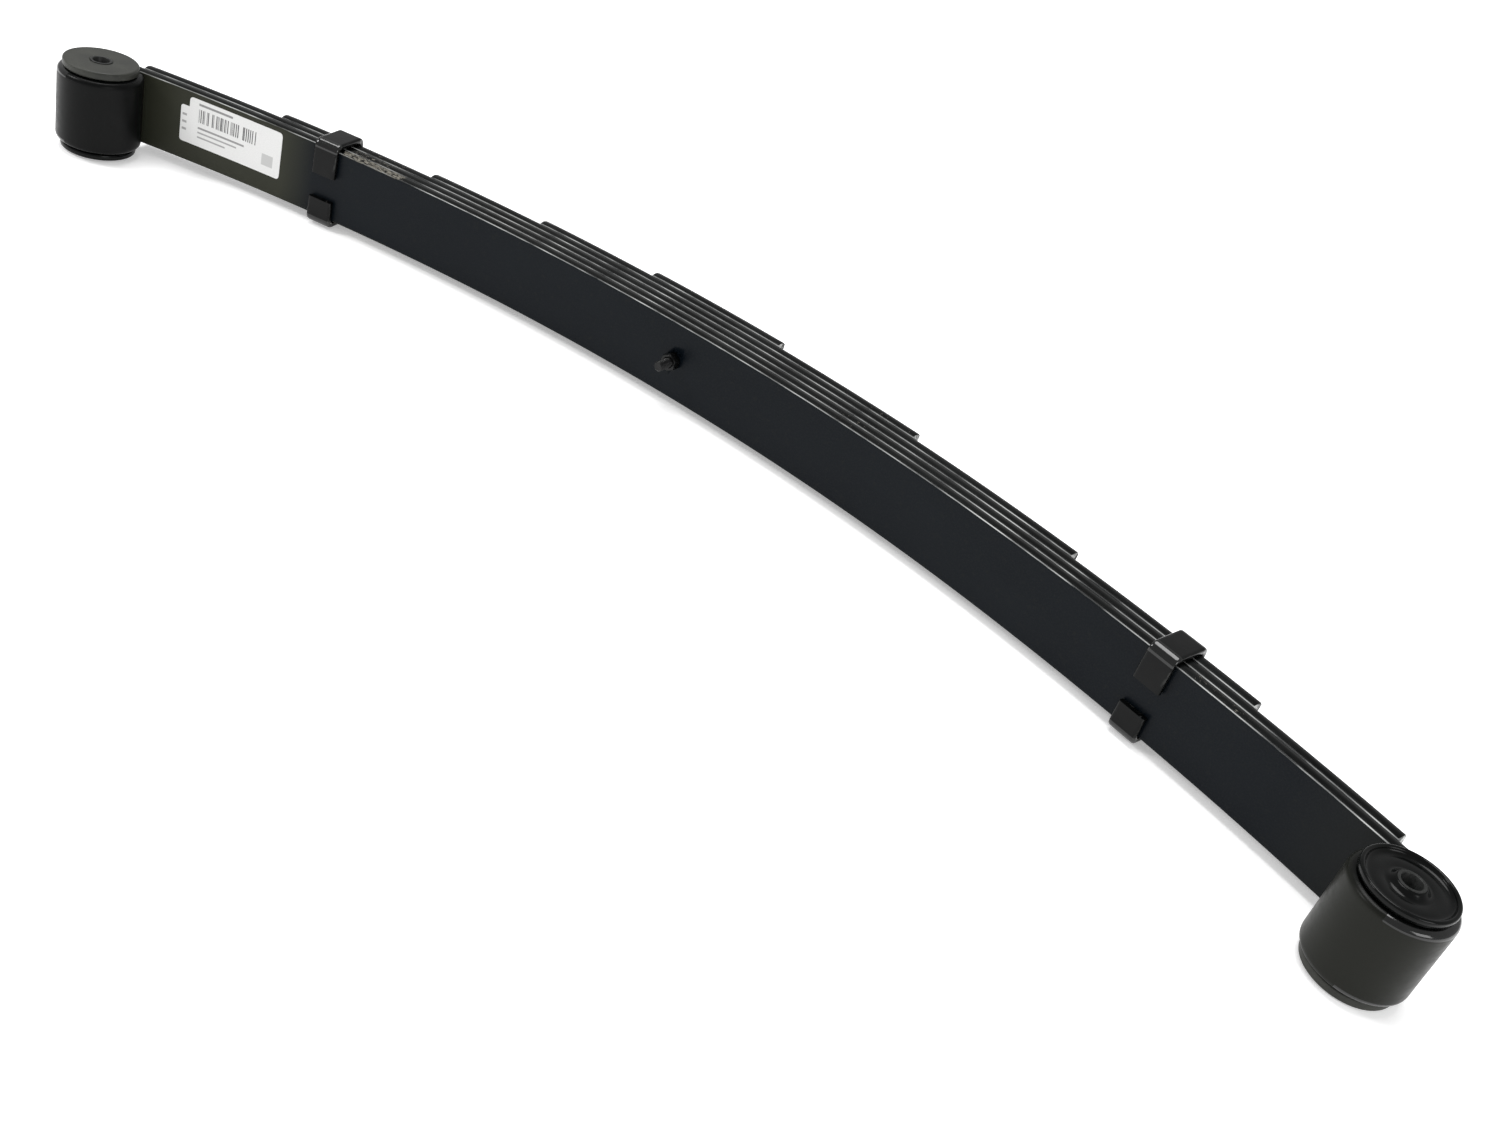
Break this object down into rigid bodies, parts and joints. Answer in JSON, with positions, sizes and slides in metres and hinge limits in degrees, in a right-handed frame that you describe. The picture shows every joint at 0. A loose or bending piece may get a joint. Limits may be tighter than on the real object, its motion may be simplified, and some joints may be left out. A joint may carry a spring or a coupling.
{
  "type": "leaf spring",
  "caption": "Semi-elliptic multi-leaf vehicle spring lying on its side, with rolled and bushed eyes, centre bolt, bent-over rebound clips and blank labels.",
  "frame": {"origin": "on the centre bolt's axis at the seat face, where the round locating head meets the sixth leaf", "axes": "+X along the spring towards the long limb, +Y out of the seat face along the centre bolt, +Z across the leaves along the eye axes; the spring lies on its side"},
  "size_m": [1.2264, 0.253, 0.0776],
  "materials": {
    "black_spring_steel": "semi-gloss black paint over rolled spring steel",
    "black_clip": "gloss black paint over bent strap",
    "black_fastener": "black paint over steel, worn at the thread",
    "bush_shell": "plain drawn tube",
    "bush_rubber": "moulded black rubber",
    "bush_sleeve": "dark plated tube",
    "label_paper": "white paper label"
  },
  "bodies": {
    "short_eye": {"short_eye_shell": "bush_shell", "short_eye_rubber": "bush_rubber"},
    "spring_pack": {"main_leaf": "black_spring_steel", "second_leaf": "black_spring_steel", "third_leaf": "black_spring_steel", "fourth_leaf": "black_spring_steel", "fifth_leaf": "black_spring_steel", "sixth_leaf": "black_spring_steel", "short_limb_clip": "black_clip", "short_limb_clip_rivet": "black_fastener", "long_limb_clip": "black_clip", "long_limb_clip_rivet": "black_fastener", "centre_bolt": "black_fastener", "centre_nut": "black_fastener", "shipping_label": "label_paper", "side_label": "label_paper"},
    "long_eye": {"long_eye_shell": "bush_shell", "long_eye_rubber": "bush_rubber"},
    "short_sleeve": {"short_eye_sleeve": "bush_sleeve"},
    "long_sleeve": {"long_eye_sleeve": "bush_sleeve"}
  },
  "joints": [
    {"name": "pack_flex", "type": "hinge", "parent": "short_eye", "child": "spring_pack", "pos_m": [0, -0.0561, 0], "axis": [0, 0, 1], "range_deg": [0, 8], "stiffness_Nm_per_rad": 23000, "deforming": ["main_leaf", "second_leaf", "third_leaf", "fourth_leaf", "fifth_leaf", "sixth_leaf"]},
    {"name": "long_eye_flex", "type": "hinge", "parent": "short_eye", "child": "long_eye", "pos_m": [0, -0.0561, 0], "axis": [0, 0, 1], "range_deg": [0, 16], "stiffness_Nm_per_rad": 5750},
    {"name": "short_sleeve_twist", "type": "hinge", "parent": "short_eye", "child": "short_sleeve", "pos_m": [-0.53319, -0.17823, 0], "axis": [0, 0, 1], "range_deg": [-15, 15], "stiffness_Nm_per_rad": 55},
    {"name": "long_sleeve_twist", "type": "hinge", "parent": "long_eye", "child": "long_sleeve", "pos_m": [0.62581, -0.21036, 0], "axis": [0, 0, 1], "range_deg": [-15, 15], "stiffness_Nm_per_rad": 55}
  ],
  "couplings": [
    {"joint": "long_eye_flex", "follows": "pack_flex", "ratio": 2}
  ]
}
